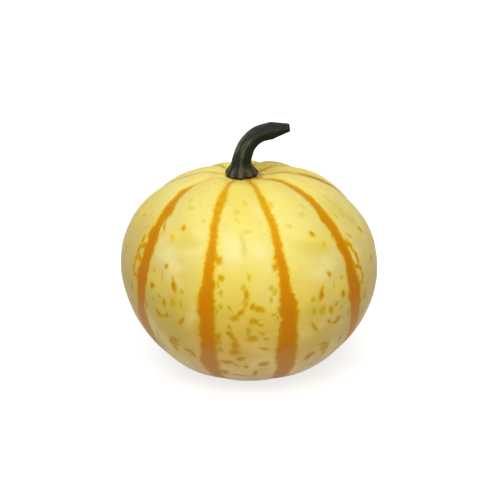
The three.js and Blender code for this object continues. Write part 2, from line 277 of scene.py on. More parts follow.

# ---------- Tones, as screen colours from 0 to 255 a channel ----------
# By the height in millimetres. The pale tan that most tones turn to at the very bottom is a painted
# reflection of the pale floor.
TONES_BY_HEIGHT = {
    "front ground": (
        (0, (226, 200, 166)), (16, (238, 202, 142)), (34, (228, 188, 98)), (48, (234, 195, 79)),
        (64, (246, 211, 86)), (78, (243, 219, 100)), (90, (246, 228, 120)), (108, (250, 234, 132)),
        (119, (250, 226, 106)),
    ),
    "side ground": (
        (0, (212, 188, 156)), (34, (220, 196, 140)), (46, (222, 198, 134)), (60, (220, 198, 108)),
        (74, (232, 210, 134)), (86, (236, 214, 140)), (98, (236, 216, 124)), (112, (247, 228, 128)),
    ),
    "flank ground": (
        (0, (212, 186, 112)), (66, (212, 186, 112)), (84, (228, 202, 114)), (104, (240, 214, 116)),
    ),
    "stripe": (
        (0, (194, 138, 84)), (22, (198, 132, 60)), (40, (207, 128, 4)), (56, (216, 133, 0)),
        (72, (216, 135, 0)), (88, (222, 143, 0)), (102, (230, 158, 0)), (111, (234, 174, 8)),
        (119, (226, 172, 28)),
    ),
    "golden": (
        (0, (204, 158, 104)), (30, (212, 170, 60)), (62, (228, 186, 38)), (90, (246, 206, 50)),
        (119, (246, 212, 76)),
    ),
    "ochre": (
        (0, (200, 148, 90)), (30, (206, 158, 50)), (50, (214, 166, 10)), (90, (222, 172, 8)),
        (119, (226, 180, 40)),
    ),
    "olive": (
        (0, (158, 126, 80)), (24, (176, 146, 66)), (50, (202, 168, 24)), (72, (212, 180, 24)),
        (90, (226, 202, 30)), (119, (228, 208, 64)),
    ),
}
TONES = {
    # painted shade on the left side
    "painted shade on the left": (190, 160, 50),
    "cream cloud": (252, 238, 160),
    # yellow clouds, and painted light on one groove's lit slope
    "olive shade": (190, 172, 70),
    "mottle": (206, 186, 84),
    # painted highlight
    "painted highlight": (252, 240, 168),
    "yellow cloud and painted light": (248, 222, 84),
    # olive clouds, and painted shade on the flank sheet
    "olive cloud and painted shade": (206, 184, 70),
    # painted shadow of the stalk on the crown
    "painted stalk shadow": (196, 160, 90),
    "flank stripe": (190, 114, 2),
    # painted reflection of the pale floor on the stripes' lower parts
    "painted floor reflection on stripe": (200, 140, 68),
    "stripe grain": (196, 118, 4),
    "browned stripe": (198, 152, 48),
    "flank olive": (188, 154, 84),
    "brown ring": (150, 112, 48),
    "cork": (132, 104, 72),
    "bark": (31, 37, 25),
    "worn bark": (92, 96, 79),
    "tip": (27, 33, 26),
    # painted shade on the side inside the bend
    "sheltered bark": (22, 28, 9),
    "foot crest": (98, 98, 68),
    # painted shade in the hollows of the foot's flutes
    "painted shade in foot flutes": (34, 34, 16),
    # painted shade on the foot, on the same side
    "sheltered foot": (58, 55, 20),
    "foot rim": (66, 36, 16),
    "pith": (104, 92, 66),
    "pale pith": (136, 122, 92),
    "floor seen": (188, 188, 188),
    "floor unseen": (212, 212, 212),
}
WHITE = (1, 1, 1, 1)
# Where the painted shadow of the stalk lies: a tan patch on the crown behind it.
PAINTED_STALK_SHADOW = (8, 27, 118)  # the middle of the tan patch on the crown, in millimetres
FRUIT_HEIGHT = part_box("fruit")[1].z / MM

# ---------- The stage, the lamps and the camera ----------
FLOOR_HALF_WIDTH = 3.0  # metres
FLOOR_GLOW = 0.75
AMBIENT = 0.12  # strength of the soft light from all round
LAMPS = (  # name, azimuth and elevation in degrees, level, softness in degrees
    ("key", -8, 66, 0.77, 60),
    ("fill", 6, 8, 0.23, 40),
)
CAMERA_ELEVATION = 20  # degrees
CAMERA_DISTANCE = 0.75  # metres from the place it aims at
CAMERA_AIM = Vector((0.0006, 0.0027, 0.0699))
LENS = 91.66
SENSOR_WIDTH = 36

# ---------- Fineness ----------
COLUMNS_PER_RIB = 36
RIND_ROWS = 240
PROFILE_SAMPLES = 4001
STALK_COLUMNS = 180
STALK_ROWS = 240
SAMPLES_PER_BEND = 80


def smooth(start, end, value):
    """0 before start, 1 after end, and an S curve, 3t^2 - 2t^3, between them."""
    t = np.clip((value - start) / (end - start), 0, 1)
    return t * t * (3 - 2 * t)


def add_object(name, data):
    """A new object in the scene, from its mesh, light or camera."""
    made = bpy.data.objects.new(name, data)
    bpy.context.scene.collection.objects.link(made)
    return made


def closed_surface(name, rings, first, last, sheet=None):
    """A closed mesh object from rings of points, shape (rows, columns, 3) in millimetres, bottom to top,
    and one point that closes each end. sheet, if given, holds the U and V at the left and at the right edge
    of every face column, shape (2, rows + 2, columns, 2), where the first and last row belong to the ends."""
    rows, columns, _ = rings.shape
    points = np.concatenate([[first], rings.reshape(-1, 3), [last]]) * MM
    left = np.arange(columns)
    right = (left + 1) % columns
    low = 1 + np.arange(rows - 1)[:, None] * columns
    high = low + columns
    quads = np.stack([low + left, low + right, high + right, high + left], axis=-1).reshape(-1, 4)
    top_ring = 1 + (rows - 1) * columns
    bottom_fan = np.stack([np.zeros(columns, int), 1 + right, 1 + left], axis=-1)
    top_fan = np.stack([np.full(columns, len(points) - 1), top_ring + left, top_ring + right], axis=-1)
    mesh = bpy.data.meshes.new(name)
    mesh.from_pydata(points.tolist(), [], quads.tolist() + bottom_fan.tolist() + top_fan.tolist())
    mesh.shade_smooth()
    if sheet is not None:
        at_left, at_right = sheet
        quad_corners = np.stack([at_left[1:-2], at_right[1:-2], at_right[2:-1], at_left[2:-1]], axis=2)
        bottom_corners = np.stack([at_left[0], at_right[1], at_left[1]], axis=1)
        top_corners = np.stack([at_left[-1], at_left[-2], at_right[-2]], axis=1)
        corners = [part.reshape(-1, 2) for part in (quad_corners, bottom_corners, top_corners)]
        layer = mesh.uv_layers.new(name="fleck_sheet")
        layer.data.foreach_set("uv", np.concatenate(corners).astype(np.float32).ravel())
    return add_object(name, mesh)


def add_attribute(piece, name, values):
    """Stores a number, or a point of three numbers, per vertex on the piece's mesh."""
    kind, field = ("FLOAT", "value") if values.ndim == 1 else ("FLOAT_VECTOR", "vector")
    attribute = piece.data.attributes.new(name, kind, "POINT")
    attribute.data.foreach_set(field, np.ascontiguousarray(values, np.float32).ravel())


# ---------- The fruit ----------

def profile(latitude):
    """Radius and height from the widest level. Above it, the radius is the girth times the cosine and the
    height the crown's rise times the sine, each to its own power, and the dimple blends the height into
    the seat; below it, the same with the drop to the blossom end and no dimple."""
    level = np.maximum(np.cos(latitude), 0)
    rise = np.abs(np.sin(latitude))
    upper = latitude >= 0
    radius = GIRTH_RADIUS * level ** np.where(upper, UPPER_OVAL[0], LOWER_OVAL[0])
    shoulder = CROWN_RISE * rise ** UPPER_OVAL[1]
    above = SEAT_RISE + (shoulder - SEAT_RISE) * smooth(SEAT_RADIUS, CREST_RADIUS, radius)
    below = -BLOSSOM_DROP * rise ** LOWER_OVAL[1]
    return radius, np.where(upper, above, below)


def profile_normal(latitude):
    """The profile's outward direction, square to the step between two neighbouring points."""
    step = 1e-4
    r0, z0 = profile(latitude - step)
    r1, z1 = profile(latitude + step)
    length = np.maximum(np.hypot(r1 - r0, z1 - z0), 1e-12)
    return (z1 - z0) / length, (r0 - r1) / length


def climb(latitude):
    """Length of the profile from the widest level up to each latitude, negative below it."""
    fine = np.linspace(-math.pi / 2, math.pi / 2, PROFILE_SAMPLES)
    radius, height = profile(fine)
    length = np.concatenate([[0], np.cumsum(np.hypot(np.diff(radius), np.diff(height)))])
    return np.interp(latitude, fine, length) - np.interp(0, fine, length)


def groove_azimuth(index, latitude):
    """Azimuth of a groove in degrees: its own, plus a swing aside that grows towards either end."""
    azimuth, at_crown, at_bottom = GROOVES[index % len(GROOVES)][:3]
    crown = at_crown * smooth(*SWING_LATITUDES["crown"], latitude)
    bottom = at_bottom * smooth(*SWING_LATITUDES["bottom"], -latitude)
    return azimuth + 360 * (index // len(GROOVES)) + crown + bottom


def rib_strength(latitude, radius):
    """1 over most of the fruit, falling to 0 where the ribs run out at the seat and in the flat spot."""
    at_crown = smooth(SEAT_RADIUS, GROOVE_FADE_RADIUS["crown"], radius)
    return np.where(latitude < 0, smooth(0, GROOVE_FADE_RADIUS["bottom"], radius), at_crown)


def groove_shape(across):
    """1 in a groove and 0 on a crest: one minus a rounded sine of the way across the rib."""
    soft = GROOVE_SOFTNESS
    return 1 - (np.hypot(np.sin(np.pi * across), soft) - soft) / (math.hypot(1, soft) - soft)


def unevenness(azimuth, latitude):
    """Gentle hollows and swellings of the rind in mm: three waves of azimuth and latitude added up, which
    die away towards both ends."""
    broad = np.sin(3 * azimuth + 4 * latitude + 0.8) * np.cos(5 * latitude - 1.1)
    middling = np.sin(11 * azimuth - 7 * latitude) * np.cos(9 * latitude + 2 * azimuth + 0.5)
    small = np.sin(29 * azimuth + 13 * latitude) * np.cos(23 * latitude - 5 * azimuth)
    waves = RIND_WAVES["broad"] * broad + RIND_WAVES["middling"] * middling + RIND_WAVES["small"] * small
    return waves * np.cos(latitude)


def puckers(azimuth, radius, latitude):
    """Fine folds that run out from under the stalk's foot, in mm: a wave of the azimuth, unevenly spaced,
    that rises and then dies away with the radius."""
    near_foot = smooth(*PUCKER_RISE, radius) * smooth(*PUCKER_FADE, radius) * (latitude > 0)
    return PUCKER_HEIGHT * near_foot * np.sin(PUCKERS * azimuth + 0.7 * np.sin(5 * azimuth))


def blossom_scar(radius, latitude):
    """How far the corky scar under the fruit is drawn in, in mm: a shallow dish with an S-shaped side."""
    dish = SCAR_DEPTH * smooth(*SCAR_RADII, radius)
    return np.where(latitude < 0, dish, 0)


def flattened(z):
    """The bottom rounds off along a parabola into the plane z = 0 and goes no lower."""
    eased = (z + FLAT_SPOT_EASE) ** 2 / (4 * FLAT_SPOT_EASE)
    return np.where(z > FLAT_SPOT_EASE, z, np.where(z < -FLAT_SPOT_EASE, 0, eased))


def stripe_tone(name, latitude):
    """How strong and how brown a stripe is: both change along an S curve towards the stalk."""
    _, _, (pale_start, pale_end, least), (brown_start, brown_end, most) = STRIPES[name]
    strength = 1 + (least - 1) * smooth(pale_start, pale_end, latitude)
    return strength, most * smooth(brown_start, brown_end, latitude)


def make_fruit():
    """The whole rind. Rings of constant latitude carry the ribs: each point is pushed in along the profile's
    normal by the groove's depth, the rings slide aside with the stalk near the crown, and one flank hangs
    lower. Every rib has its own sheet coordinates: across from its middle line and up from the widest
    level, in mm. The vertices carry the distance from the nearest stripe's edge in mm, negative inside it,
    and the stripe's strength and brownness."""
    ribs = len(GROOVES)
    latitude = np.linspace(-math.pi / 2, math.pi / 2, RIND_ROWS + 1)[1:-1, None]
    degrees = np.degrees(latitude)
    radius, height = profile(latitude)
    out_r, out_z = profile_normal(latitude)
    far = np.where(latitude < 0, GROOVE_DEPTH["bottom"], GROOVE_DEPTH["shoulder"])
    depth = GROOVE_DEPTH["girth"] + (far - GROOVE_DEPTH["girth"]) * smooth(0, 1, np.abs(latitude))
    strength = rib_strength(latitude, radius)
    across = np.arange(COLUMNS_PER_RIB)[None, :] / COLUMNS_PER_RIB
    edges = np.arange(COLUMNS_PER_RIB + 1)[None, :] / COLUMNS_PER_RIB

    rings, to_stripe, strengths, browns, sheet_left, sheet_right = [], [], [], [], [], []
    for rib, (*_, swell, stripe, (sheet, mirror, slide, lift)) in enumerate(GROOVES):
        start = groove_azimuth(rib, degrees)
        width = groove_azimuth(rib + 1, degrees) - start
        azimuth = np.radians(start + width * across)
        groove = groove_shape(across)
        sunk = (depth * groove - swell * (1 - groove)) * strength
        sunk = sunk - unevenness(azimuth, latitude) - puckers(azimuth, radius, latitude)
        r = radius - sunk * out_r
        flank = FLANK_SLOPE * r * np.sin(azimuth) * np.cos(latitude) ** FLANK_SLOPE_FADE
        shift = np.where(latitude > 0, CROWN_SHIFT * smooth(CROWN_SHIFT_RADIUS, SEAT_RADIUS, radius), 0)
        z = flattened(GIRTH_HEIGHT + height - sunk * out_z - flank) + blossom_scar(radius, latitude)
        rings.append(np.stack([r * np.sin(azimuth) + shift, -r * np.cos(azimuth), z], axis=-1))

        rib_width = radius * np.radians(width)
        next_stripe = GROOVES[(rib + 1) % ribs][4]
        from_start = rib_width * across - np.interp(degrees, *STRIPE_EDGES[STRIPES[stripe][1]])
        from_end = rib_width * (1 - across) - np.interp(degrees, *STRIPE_EDGES[STRIPES[next_stripe][0]])
        to_stripe.append(np.minimum(from_start, from_end))
        before, after = (stripe_tone(name, degrees) for name in (stripe, next_stripe))
        strengths.append(np.where(from_start < from_end, before[0], after[0]))
        browns.append(np.where(from_start < from_end, before[1], after[1]))

        u = mirror * rib_width * (edges - 0.5) + slide + SHEETS[sheet]
        v = climb(latitude) + lift + 0 * u
        coordinates = np.stack([u, v], axis=-1)
        coordinates = np.concatenate([coordinates[:1], coordinates, coordinates[-1:]])
        sheet_left.append(coordinates[:, :-1])
        sheet_right.append(coordinates[:, 1:])

    sheet = np.stack([np.concatenate(sheet_left, axis=1), np.concatenate(sheet_right, axis=1)])
    bottom = np.array([0, 0, blossom_scar(0.0, -1.0)])
    top = np.array([CROWN_SHIFT, 0, GIRTH_HEIGHT + SEAT_RISE])
    fruit = closed_surface("striped_fruit", np.concatenate(rings, axis=1), bottom, top, sheet)
    attributes = {"stripe_edge": to_stripe, "stripe_strength": strengths, "stripe_brown": browns}
    for name, values in attributes.items():
        at_rings = np.concatenate(values, axis=1).ravel()
        add_attribute(fruit, name, np.concatenate([[1], at_rings, [1]]))
    return fruit


# ---------- The stalk ----------

def smooth_line(points, count):
    """A centripetal Catmull-Rom curve through the points, as count + 1 places evenly spaced along it. Each
    stretch is a cubic whose end slopes come from the neighbouring points, weighted by the root of the
    steps between them."""
    points = np.array(points, float)
    points = np.concatenate([[2 * points[0] - points[1]], points, [2 * points[-1] - points[-2]]])
    steps = np.sqrt(np.linalg.norm(np.diff(points, axis=0), axis=1))[:, None]
    chords = np.diff(points, axis=0) / steps
    before, here, after = steps[:-2], steps[1:-1], steps[2:]
    skip_before = (points[2:-1] - points[:-3]) / (before + here)
    skip_after = (points[3:] - points[1:-2]) / (here + after)
    slope_in = (chords[:-2] - skip_before + chords[1:-1]) * here
    slope_out = (chords[1:-1] - skip_after + chords[2:]) * here
    t = np.linspace(0, 1, SAMPLES_PER_BEND, endpoint=False)[None, :, None]
    start, end = points[1:-2, None], points[2:-1, None]
    cubic = (
        start * (2 * t**3 - 3 * t**2 + 1) + end * (3 * t**2 - 2 * t**3)
        + slope_in[:, None] * (t**3 - 2 * t**2 + t) + slope_out[:, None] * (t**3 - t**2)
    )
    fine = np.concatenate([cubic.reshape(-1, points.shape[1]), points[-2:-1]])
    length = np.concatenate([[0], np.cumsum(np.linalg.norm(np.diff(fine, axis=0), axis=1))])
    places = np.linspace(0, length[-1], count + 1)
    return places, np.stack([np.interp(places, length, column) for column in fine.T], axis=-1)


def make_stalk():
    """The dried stalk: rings square to the middle line. Their radius is the stalk's own, which narrows
    towards the bend and tapers at the tip, plus a flare at the foot that dies away as a bell curve. Flutes
    notch the flare and ridges edge the stalk, both waves of the angle round it, with finer waves for lobes,
    threads, lumps and wrinkles; the cut end is a shallow dish."""
    along, middle = smooth_line(STALK_LINE, STALK_ROWS)
    length = along[-1]
    tangent = np.gradient(middle, along, axis=0)
    tangent[0] = (0, 1)
    tangent /= np.linalg.norm(tangent, axis=1)[:, None]
    inward = np.stack([tangent[:, 1], -tangent[:, 0]], axis=-1)  # towards the inside of the bend

    along = along[:, None]
    angle = np.linspace(0, 2 * math.pi, STALK_COLUMNS, endpoint=False)[None, :]
    flare = np.exp(-((along / FOOT_FLARE_HEIGHT) ** 2))
    half_way = np.minimum(2 * along / length, 1)
    stalk = STALK_RADIUS["foot"] + (STALK_RADIUS["bend"] - STALK_RADIUS["foot"]) * half_way
    base = stalk + (FOOT_RADIUS - stalk) * flare
    taper = np.maximum((along - length) / TIP_TAPER_LENGTH + 1, 0)
    narrowing = 1 - taper * (1 - STALK_RADIUS["tip"] / STALK_RADIUS["bend"])

    turned = angle - math.radians(RIDGE_TURN)
    ridge = 1 - np.hypot(np.sin(RIDGES * turned / 2), RIDGE_SOFTNESS)
    flute = (np.cos(FLUTES * turned + 0.35 * np.sin(3 * angle)) - 1) / 2
    rim = FOOT_RIM["depth"] * np.exp(-((along / FOOT_RIM["height"]) ** 2))
    lobes = FOOT_LOBES["broad"] * np.sin(3 * angle + 1) + FOOT_LOBES["narrow"] * np.sin(7 * angle)
    threads = THREAD_HEIGHTS["broad"] * np.sin(23 * angle + 3 * np.sin(along / 5))
    threads = threads + THREAD_HEIGHTS["narrow"] * np.sin(41 * angle - along / 3)
    lumps = LUMP_HEIGHT * np.sin(along / 2.3 + 2 * angle) * np.sin(along / 4.1 - 3 * angle)
    wrinkles = WRINKLE_HEIGHT * taper * np.sin(along * 2.6 + 2 * np.sin(2 * angle))
    foot_relief = flare * (FLUTE_DEPTH * flute + lobes)
    shaft_relief = (1 - flare) * (RIDGE_DEPTH * (ridge - RIDGE_LEVEL) + lumps)
    radius = (base + foot_relief + shaft_relief + threads + wrinkles - rim) * narrowing

    foot_low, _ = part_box("stem")
    foot = np.array([foot_low.x / MM + FOOT_RADIUS, 0, foot_low.z / MM])
    centre = foot + np.insert(middle, 1, 0, axis=1)
    inwards = np.insert(inward, 1, 0, axis=1)
    sideways = np.array([0, 1, 0])
    rings = centre[:, None] + radius[..., None] * (
        np.cos(angle)[..., None] * inwards[:, None] + np.sin(angle)[..., None] * sideways
    )
    foot_end = rings[0].mean(axis=0)
    cut_end = rings[-1].mean(axis=0)
    dish = -CUT_DISH_DEPTH * np.array(CUT_END_FACES)
    dish_rings = [cut_end + (rings[-1] - cut_end) * share + dish * (1 - share) for share in CUT_DISH_RINGS]
    rings = np.concatenate([rings, dish_rings])
    piece = closed_surface("dried_stalk", rings, foot_end, cut_end + dish)

    straight = [radius * np.cos(angle), radius * np.sin(angle), along + 0 * angle]
    attributes = {
        "straightened": np.stack(straight, axis=-1) * MM,
        "crest": flare * (1 + flute) + (1 - flare) * np.clip(ridge / 0.7, 0, 1),
        # Painted shade: 1 on the side inside the bend, which faces away from the light.
        "sheltered": (1 + np.cos(angle - 0.1)) / 2 + 0 * along,
        "cut": 0 * radius,
    }
    for name, values in attributes.items():
        on_rings = values.reshape(STALK_ROWS + 1, STALK_COLUMNS, -1)
        on_cut = np.ones_like(on_rings[-1]) if name == "cut" else on_rings[-1]
        on_rings = np.concatenate([on_rings] + [on_cut[None]] * len(CUT_DISH_RINGS))
        every = np.concatenate([on_rings[0, :1], on_rings.reshape(-1, on_rings.shape[-1]), on_cut[:1]])
        add_attribute(piece, name, every.squeeze())
    return piece


# ---------- Shader graphs ----------

def maths(operation, swapped=False):
    """A method that adds a Math node on a wire and another value, in that order or swapped."""
    def method(wire, other):
        values = (other, wire) if swapped else (wire, other)
        return wire.graph.node("Math", {"operation": operation}, dict(enumerate(values)))
    return method


class Wire:
    """A shader socket that is used like a number: every operator on it adds a Math node."""

    def __init__(self, graph, socket):
        self.graph = graph
        self.socket = socket

    __add__ = maths("ADD")
    __radd__ = maths("ADD")
    __sub__ = maths("SUBTRACT")
    __rsub__ = maths("SUBTRACT", swapped=True)
    __mul__ = maths("MULTIPLY")
    __rmul__ = maths("MULTIPLY")
    __truediv__ = maths("DIVIDE")
    least = maths("MINIMUM")
    most = maths("MAXIMUM")


class Graph:
    """The nodes of one material or world, cleared at first."""

    def __init__(self, tree):
        self.tree = tree
        tree.nodes.clear()

    def node(self, kind, settings=None, sockets=None, output=0):
        """Adds a shader node: first its settings, then its sockets, each set to a value or linked to a wire.
        The setting "stops" is a colour ramp's places and colours. Gives back the wire of one of its outputs,
        or the node itself if it has none."""
        made = self.tree.nodes.new("ShaderNode" + kind)
        for name, value in (settings or {}).items():
            if name == "stops":
                self.fill_ramp(made.color_ramp, value)
            else:
                setattr(made, name, value)
        for name, value in (sockets or {}).items():
            if isinstance(value, Wire):
                self.tree.links.new(value.socket, made.inputs[name])
            else:
                made.inputs[name].default_value = value
        return Wire(self, made.outputs[output]) if made.outputs else made

    def outputs(self, wire, *names):
        """Wires from other outputs of the node that the wire comes from."""
        return [Wire(self, wire.socket.node.outputs[name]) for name in names]

    def split(self, place):
        """Wires of the place's X, Y and Z."""
        return self.outputs(self.node("SeparateXYZ", None, {0: place}), "X", "Y", "Z")

    def attribute(self, name, output="Fac"):
        """What the piece's vertices carry under that name."""
        return self.node("Attribute", {"attribute_name": name}, None, output)

    @staticmethod
    def fill_ramp(ramp, stops):
        while len(ramp.elements) < len(stops):
            ramp.elements.new(1.0)
        for element, (place, rgba) in zip(ramp.elements, stops):
            element.position = place
            element.color = rgba

    def vector(self, operation, *values, output=0, **sockets):
        """A Vector Math node on the values. Its length is at output 1."""
        sockets = {**dict(enumerate(values)), **sockets}
        return self.node("VectorMath", {"operation": operation}, sockets, output)

    def distance(self, place, centre):
        """How far the place is from the centre, both in metres."""
        return self.vector("LENGTH", self.vector("SUBTRACT", place, centre), output=1)

    def mix(self, factor, first, second):
        """The first colour where the factor is 0 and the second where it is 1."""
        return self.node("Mix", {"data_type": "RGBA"}, {0: factor, 6: first, 7: second}, output=2)

    def step(self, start, end, value, low=0.0, high=1.0):
        """An S curve from low at start to high at end."""
        settings = {"interpolation_type": "SMOOTHSTEP"}
        return self.node("MapRange", settings, {0: value, 1: start, 2: end, 3: low, 4: high})

    def noise(self, place, size, detail=2.0, output=0, **sockets):
        """Noise about 0.5 whose features are about this size, in the place's own unit."""
        values = {"Vector": place, "Scale": 1 / size, "Detail": detail, **sockets}
        return self.node("TexNoise", None, values, output)

    def strayed(self, place, guide, size, detail, reach):
        """The place, moved aside by up to half the reach: the guide's noise, of this size, says which way."""
        stray = self.vector("SUBTRACT", self.noise(guide, size, detail, output=1), (0.5, 0.5, 0.5))
        return self.vector("ADD", place, self.vector("SCALE", stray, Scale=reach))

    def ramp(self, factor, stops):
        """A colour that runs through the stops, given as places from 0 to 1 and colours."""
        return self.node("ValToRGB", {"stops": stops}, {0: factor})


def colour(red, green, blue):
    """A screen colour, 0 to 255 a channel, as the linear colour that the shaders take."""
    shares = np.array([red, green, blue]) / 255
    linear = np.where(shares <= 0.04045, shares / 12.92, ((shares + 0.055) / 1.055) ** 2.4)
    return (*linear.tolist(), 1.0)


def tone(name):
    """A tone as the shaders take it."""
    return colour(*TONES[name])


def by_height(name):
    """A tone's stops on a ramp that spans the fruit's height."""
    return [(height / FRUIT_HEIGHT, colour(*rgb)) for height, rgb in TONES_BY_HEIGHT[name]]


def new_graph(name):
    """A new material with an empty graph."""
    material = bpy.data.materials.new(name)
    material.use_nodes = True
    return material, Graph(material.node_tree)


def cover(graph, paint, roughness, gloss, relief, strength, depth):
    """The surface itself. The relief only shades it: where it is 1 it seems to stand up by the depth."""
    bump = graph.node("Bump", None, {"Strength": strength, "Distance": depth, "Height": relief})
    sockets = {"Base Color": paint, "Roughness": roughness, "Normal": bump, "Specular IOR Level": gloss}
    graph.node("OutputMaterial", None, {"Surface": graph.node("BsdfPrincipled", None, sockets)})


def marks(graph, sheet_place, by_sheet):
    """The least distance from a group of oval marks, where 1 is a mark's edge. The sheet's coordinates are
    turned once for each lean; there a mark is stretched and shifted until it is the unit circle."""
    turned = {}
    nearest = None
    for sheet, group in by_sheet.items():
        for across, up, half_width, half_height, lean in group:
            turn = math.radians(lean)
            if lean not in turned:
                sockets = {"Vector": sheet_place, "Rotation": (0, 0, -turn)}
                turned[lean] = graph.node("Mapping", None, sockets)
            aside = SHEETS[sheet] + across
            along_width = aside * math.cos(turn) + up * math.sin(turn)
            along_height = up * math.cos(turn) - aside * math.sin(turn)
            stretch = (1 / half_width, 1 / half_height, 0)
            shift = (-along_width / half_width, -along_height / half_height, 0)
            unit = graph.vector("MULTIPLY_ADD", turned[lean], stretch, shift)
            distance = graph.vector("LENGTH", unit, output=1)
            nearest = distance if nearest is None else nearest.least(distance)
    return nearest


class Rind:
    """The rind's graph and the wires that several of its paints share. Lengths on the sheets are in mm."""

    def __init__(self, graph):
        self.graph = graph
        self.place = graph.node("TexCoord", None, None, "Object")
        x, y, z = graph.split(self.place)
        self.x = x
        self.z = z
        self.height = z / (FRUIT_HEIGHT * MM)  # as a share of the fruit's
        self.facing = (y * y - x * x) / (x * x + y * y + 1e-6)  # 1 at the front and the back, -1 at the sides
        self.flank = graph.step(0.5, -0.9, self.facing) * graph.step(115 * MM, 90 * MM, z)
        self.mottle = graph.noise(self.place, 5 * MM, 3.0)
        self.grain = graph.noise(self.place, 3.5 * MM, 3.0)
        self.sheet = graph.node("UVMap", {"uv_map": "fleck_sheet"})

    def tone(self, name):
        """A tone that changes with the height."""
        return self.graph.ramp(self.height, by_height(name))


def ground_paint(rind):
    """The ground colour: tan at the base, a painted reflection of the pale floor, then yellow, then cream,
    duller at the sides and darker still on the left, which is painted shade, with soft clouds, painted
    highlights among them, and a painted shadow of the stalk, tan, on the crown behind it."""
    graph, place, z, facing = rind.graph, rind.place, rind.z, rind.facing
    side = graph.step(0.95, 0.05, facing)
    ground = graph.mix(side * 0.62, rind.tone("front ground"), rind.tone("side ground"))
    ground = graph.mix(rind.flank * 0.7, ground, rind.tone("flank ground"))
    # Painted shade: the left side darker, below the shoulders.
    left = graph.step(-16 * MM, -44 * MM, rind.x) * graph.step(112 * MM, 90 * MM, z)
    ground = graph.mix(left * 0.18, ground, tone("painted shade on the left"))
    cream = graph.step(0.5, 0.72, graph.noise(place, 26 * MM, 1.0))
    ground = graph.mix(cream * 0.45, ground, tone("cream cloud"))
    olive_low = graph.step(78 * MM, 40 * MM, z) * graph.step(0.48, 0.66, graph.noise(place, 17 * MM))
    ground = graph.mix(olive_low * 0.35, ground, tone("olive shade"))
    ground = graph.mix(graph.step(0.5, 0.75, rind.mottle) * 0.16, ground, tone("mottle"))

    strayed = graph.strayed(rind.sheet, place, 9 * MM, 2.0, 9.0)
    pale, yellow, olive = (graph.step(1.3, 0.3, marks(graph, strayed, clouds))
                           for clouds in (PAINTED_HIGHLIGHTS, YELLOW_CLOUDS_AND_PAINTED_LIGHT, OLIVE_CLOUDS_AND_PAINTED_SHADE))
    # Painted highlights, stronger on the ribs that face the front and the back.
    ground = graph.mix(pale * graph.step(0.3, 0.9, facing, 0.36, 0.6), ground, tone("painted highlight"))
    # Yellow clouds, one of them painted light on the lit slope beside a groove.
    ground = graph.mix(yellow * 0.5, ground, tone("yellow cloud and painted light"))
    # Olive clouds, the broadest on the flank sheet painted shade.
    ground = graph.mix(olive * 0.3, ground, tone("olive cloud and painted shade"))
    # Painted shadow of the stalk: a tan patch on the crown behind it, with a ragged edge.
    from_painted_shadow = graph.distance(place, [value * MM for value in PAINTED_STALK_SHADOW]) + (rind.mottle - 0.5) * (14 * MM)
    return graph.mix(graph.step(21 * MM, 3 * MM, from_painted_shadow) * 0.75, ground, tone("painted stalk shadow"))


def stripe_paint(rind):
    """The stripes' own orange, which the orange flecks share. It turns tan at the base, a painted reflection
    of the pale floor, along a line that lies higher at the sides than at the front and the back."""
    graph, facing = rind.graph, rind.facing
    # Painted reflection of the pale floor: below this line the stripes turn tan.
    floor_reflection_line = (49 - 16 * facing) * MM + (graph.noise(rind.place, 9 * MM) - 0.5) * (12 * MM)
    floor_reflection_blend = (6 - 2.5 * facing) * MM
    base = graph.step(floor_reflection_blend, -1 * floor_reflection_blend, rind.z - floor_reflection_line)
    orange = graph.mix(graph.step(0.5, 0, facing) * 0.35, rind.tone("stripe"), tone("flank stripe"))
    orange = graph.mix(base * 0.8, orange, tone("painted floor reflection on stripe"))
    return graph.mix(graph.step(0.45, 0.7, rind.grain) * 0.25, orange, tone("stripe grain"))


